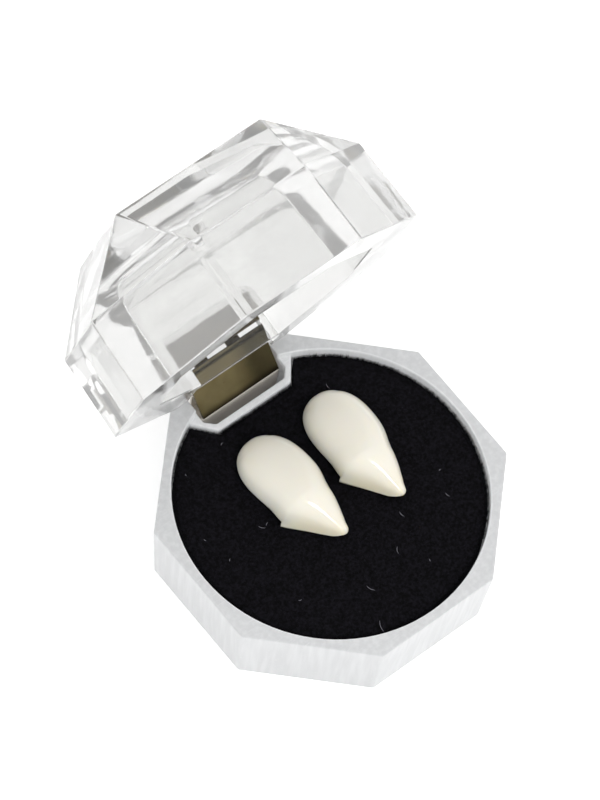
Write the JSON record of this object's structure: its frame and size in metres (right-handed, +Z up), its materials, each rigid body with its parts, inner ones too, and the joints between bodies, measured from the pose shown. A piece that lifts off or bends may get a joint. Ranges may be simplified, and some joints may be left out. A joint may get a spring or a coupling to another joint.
{
  "type": "pair of vampire fang caps in a hinged clear box",
  "caption": "Hollow-backed vampire fang tooth caps lying on a black flocked pad in an eight-sided clear acrylic box whose faceted lid opens on a sheet-metal spring hinge.",
  "frame": {"origin": "middle of the box's flat underside", "axes": "+Z up, the hinge at +Y, the front of the box at -Y, +X to the right seen from the front; the lid stands open"},
  "size_m": [0.041, 0.0571, 0.0532],
  "materials": {
    "clear_acrylic": "polished clear cast acrylic",
    "black_flock": "short black flock on foam",
    "ivory_resin": "glossy ivory dental resin",
    "plated_steel": "dull nickel-plated sheet",
    "bronze_plated_spring": "dark bronze-toned spring sheet"
  },
  "bodies": {
    "base": {"base_shell": "clear_acrylic", "flock_pad": "black_flock", "fang_left": "ivory_resin", "fang_right": "ivory_resin", "base_leaf": "plated_steel", "hinge_pin": "plated_steel"},
    "spring": {"spring_plate": "bronze_plated_spring"},
    "lid": {"lid_shell": "clear_acrylic", "lid_leaf": "plated_steel"}
  },
  "joints": [
    {"name": "lid_hinge", "type": "hinge", "parent": "base", "child": "lid", "pos_m": [0, 0.02, 0.01175], "axis": [1, 0, 0], "range_deg": [0, 76.8]},
    {"name": "spring_turn", "type": "hinge", "parent": "base", "child": "spring", "pos_m": [0, 0.02, 0.01175], "axis": [1, 0, 0], "range_deg": [0, 38.4]}
  ],
  "couplings": [
    {"joint": "spring_turn", "follows": "lid_hinge", "ratio": 0.5}
  ]
}
